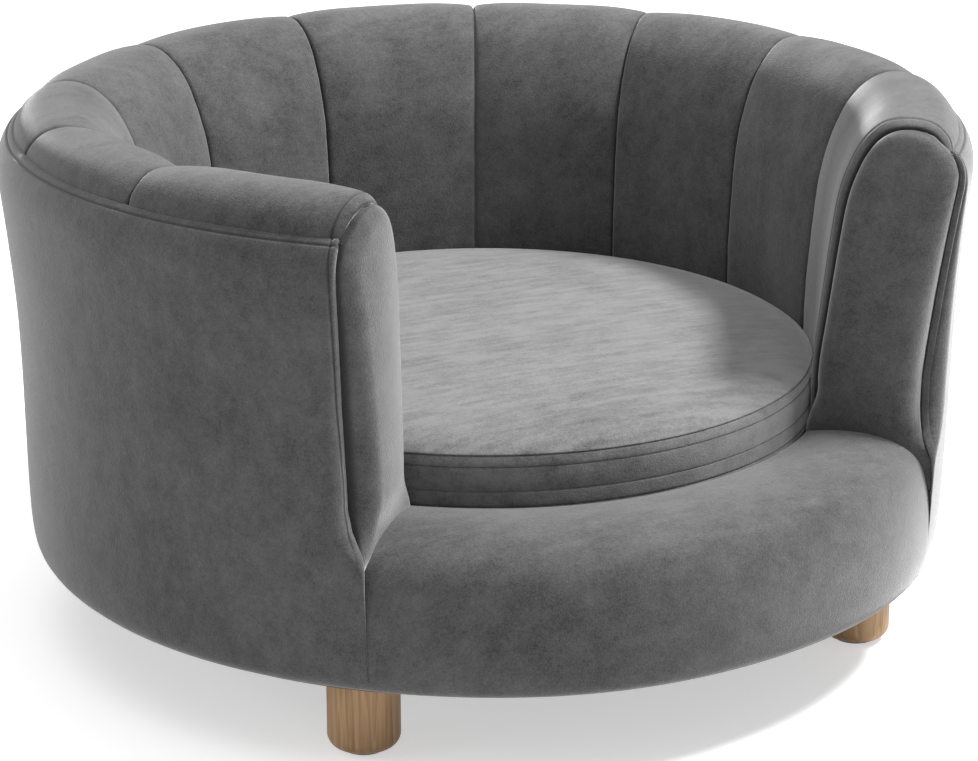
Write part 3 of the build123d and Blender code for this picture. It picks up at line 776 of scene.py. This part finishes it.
def eased_copy(name, node, material, shrink):
    """A merged copy of a CAD node, shrunk, with the wall's outer front corners planed off."""
    only(frame["nodes"][node])
    bpy.ops.object.duplicate()
    piece = bpy.context.object
    piece.name = piece.data.name = name
    for key in list(piece.keys()):
        del piece[key]
    bpy.ops.object.mode_set(mode="EDIT")
    bpy.ops.mesh.select_all(action="SELECT")
    bpy.ops.mesh.remove_doubles(threshold=0.01 * MM)
    bpy.ops.mesh.normals_make_consistent(inside=False)
    bpy.ops.transform.shrink_fatten(value=-shrink * MM)
    bpy.ops.object.mode_set(mode="OBJECT")
    for corner in piece.data.vertices:
        radius = math.hypot(corner.co.x, corner.co.y) / MM
        turn = math.degrees(math.atan2(corner.co.x, corner.co.y))
        share = min(max((radius - planed_start) / planed_span, 0), 1)
        latest = planed_turn - planed_depth * share
        if corner.co.y < 0 and latest < abs(turn) < arm_end:
            radius = radius * MM
            turn = math.radians(math.copysign(latest, turn))
            corner.co.x, corner.co.y = radius * math.sin(turn), radius * math.cos(turn)
    finish_piece(piece, "sofa", material)
    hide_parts(node)
    return piece


eased_copy("wall_foam", "wall_roll", foam, 2.5)
eased_copy("rail_foam", "rail_pad", foam, 2.5)

# %% [markdown]
# ## Wood, boards and small parts
# The legs are turned from a pale wood with upright grain. Plywood and hardboard are plain and raw.
# These nodes keep their CAD shape and only get a finish: the material in their slot is changed.
# Four boards that end at the arms are eased copies, planed off like the foam, so that they stay
# inside the arm caps.

# %% Wood and other plain finishes
def wood(name, dark, light, rings, scale, stretch, roughness):
    """A wood with fine grain and growth lines, both stretched along it."""
    material, tree, shader, coords = new_finish(name, roughness, Specular_IOR_Level=0.4)
    grain = noise(tree, coords, scale, 5, stretch)
    flow = noise(tree, coords, scale / 6, 2, stretch)
    lines = combine(tree, "FRACT", combine(tree, "MULTIPLY", flow, rings), 0)
    look = combine(tree, "ADD", combine(tree, "MULTIPLY", spread(tree, grain, 0, 1), 0.55),
                   combine(tree, "MULTIPLY", lines, 0.45))
    tint(tree, shader, look, dark, light)
    bump(tree, shader, grain, 0.25, 0.0004)
    return material


def plain(name, dark, light, roughness, scale, **constants):
    """A finish with a fine speckle between two colours."""
    material, tree, shader, coords = new_finish(name, roughness, **constants)
    speckle = spread(tree, noise(tree, coords, scale, 3), 0, 1)
    tint(tree, shader, speckle, dark, light)
    bump(tree, shader, speckle, 0.15, 0.0003)
    return material


# %% Finish the rigid parts
leg_wood = wood("leg_wood", (0.25, 0.135, 0.06), (0.5, 0.315, 0.165), 9, 330, (1, 1, 0.06), 0.5)
plywood = wood("plywood", (0.52, 0.36, 0.2), (0.72, 0.55, 0.34), 3, 90, (0.12, 1, 1), 0.7)
hardboard = plain("hardboard", (0.14, 0.075, 0.035), (0.24, 0.14, 0.07), 0.75, 400)
glide_plastic = plain("glide_plastic", (0.012, 0.012, 0.013), (0.03, 0.03, 0.032), 0.5, 500)
fastener_steel = plain(
    "fastener_steel", (0.5, 0.5, 0.51), (0.68, 0.68, 0.69), 0.35, 700, Metallic=1.0)
dust_cloth = plain("dust_cloth", (0.01, 0.01, 0.011), (0.035, 0.035, 0.037), 0.9, 900)
zip_cloth = plain("zip_cloth", (0.07, 0.07, 0.073), (0.13, 0.13, 0.135), 0.85, 1200)
zip_plastic = plain("zip_plastic", (0.05, 0.05, 0.053), (0.09, 0.09, 0.095), 0.35, 1500)
zip_metal = plain("zip_metal", (0.09, 0.09, 0.095), (0.16, 0.16, 0.165), 0.35, 600, Metallic=1.0)
finishes = {
    "leg_wood": leg_wood, "plywood": plywood, "hardboard": hardboard, "foam": foam,
    "glide_plastic": glide_plastic, "fastener_steel": fastener_steel, "dust_cloth": dust_cloth,
    "zip_cloth": zip_cloth, "zip_plastic": zip_plastic, "zip_metal": zip_metal,
    "shell_velvet": shell_velvet, "channel_velvet": channel_velvet,
    "cushion_velvet": cushion_velvet,
}
for side_name in ("right", "left"):
    eased_copy(f"arm_frame_{side_name}", f"arm_board_{side_name}", plywood, 0)
eased_copy("outer_board", "outer_panel", hardboard, 0)
eased_copy("top_board", "top_rail", plywood, 0)
for part in frame["record"]["subparts"]:
    mesh = frame["nodes"][part["node"]].data
    mesh.materials.clear()
    mesh.materials.append(finishes[part["material_slot"]])
print(len(finishes), "finishes")

# %% [markdown]
# ## Floor, light and camera
# The floor is pale and holds the soft shadow under the tub. The key light stands high on the
# right, a little in front: there the wall throws its shadow on the side of the cushion. It is
# small, so the edge of that shadow is rather crisp. A big soft light overhead and weak ones from
# the left and the front fill in.

# %% Floor
near, glow_near = 0.8, 0.52         # metres from the middle, and how strongly the floor glows there
far, glow_far = 3.0, 0.8
bpy.ops.object.select_all(action="DESELECT")
bpy.ops.mesh.primitive_plane_add(size=40, location=(0, 0, -0.0005))
floor = bpy.context.object
floor.name = "floor"
paint = bpy.data.materials.new("floor_paint")
paint.use_nodes = True
tree = paint.node_tree
surface = tree.nodes["Principled BSDF"]
surface.inputs["Base Color"].default_value = (0.8, 0.8, 0.8, 1)
surface.inputs["Roughness"].default_value = 0.9
surface.inputs["Specular IOR Level"].default_value = 0.0
surface.inputs["Emission Color"].default_value = (1, 1, 1, 1)


def seen_rays(tree):
    """1 for rays from the camera, off mirrors and through glass, 0 for rays that carry light."""
    path = tree.nodes.new("ShaderNodeLightPath")
    seen = combine(tree, "MAXIMUM", path.outputs["Is Camera Ray"], path.outputs["Is Glossy Ray"])
    return combine(tree, "MAXIMUM", seen, path.outputs["Is Transmission Ray"])


from_middle = tree.nodes.new("ShaderNodeVectorMath")
from_middle.operation = "LENGTH"
coords = tree.nodes.new("ShaderNodeTexCoord").outputs["Object"]
tree.links.new(coords, from_middle.inputs[0])
glow = spread(tree, from_middle.outputs["Value"], glow_near, glow_far, near, far)
glow = combine(tree, "MULTIPLY", seen_rays(tree), glow)
tree.links.new(glow, surface.inputs["Emission Strength"])
floor.data.materials.append(paint)
print("floor glow", glow_near, "near the tub and", glow_far, "far from it")

# %% Light
aim = Vector((0, 0, 0.2))   # the middle of the tub
sky_light, sky_seen = 0.31, 1.0     # how bright the world is as a light, and where it is seen


def soft_light(name, place, width, height, power):
    """A rectangular lamp that shines at the middle of the tub."""
    data = bpy.data.lights.new(name, "AREA")
    data.shape = "RECTANGLE"
    data.size, data.size_y, data.energy = width, height, power
    lamp = bpy.data.objects.new(name, data)
    bpy.context.scene.collection.objects.link(lamp)
    lamp.location = place
    lamp.rotation_euler = (aim - Vector(place)).to_track_quat("-Z", "Y").to_euler()


soft_light("key", (1.38, -0.6, 2.31), 0.9, 0.3, 128)
soft_light("overhead", (-0.2, 0.2, 2.4), 3.0, 2.4, 37)
soft_light("left_side", (-3.2, 0.6, 1.4), 1.6, 1.2, 19)
soft_light("front_fill", (-1.0, -3.0, 1.4), 2.0, 1.6, 5)
world = bpy.data.worlds.new("studio")
bpy.context.scene.world = world
world.use_nodes = True
tree = world.node_tree
sky = tree.nodes["Background"]
sky.inputs["Color"].default_value = (1, 1, 1, 1)
strength = spread(tree, seen_rays(tree), sky_light, sky_seen, 0, 1)
tree.links.new(strength, sky.inputs["Strength"])
print("four lamps and a world of strength", sky_light)

# %% Camera
photo_width = 978           # in pixels
focal_pixels = 3143.16      # the focal length, in the same pixels
camera_data = bpy.data.cameras.new("camera")
camera = bpy.data.objects.new("camera", camera_data)
bpy.context.scene.collection.objects.link(camera)
camera.location = (-1.037, -1.945, 0.9134)
camera.rotation_euler = (math.radians(71.348), 0, math.radians(-28.068))
camera_data.sensor_fit = "HORIZONTAL"
camera_data.sensor_width = 36
camera_data.lens = focal_pixels * camera_data.sensor_width / photo_width
camera_data.shift_x = 0.0031
bpy.context.scene.camera = camera
bpy.context.scene.view_settings.view_transform = "Standard"
print("lens", round(camera_data.lens, 1), "mm")
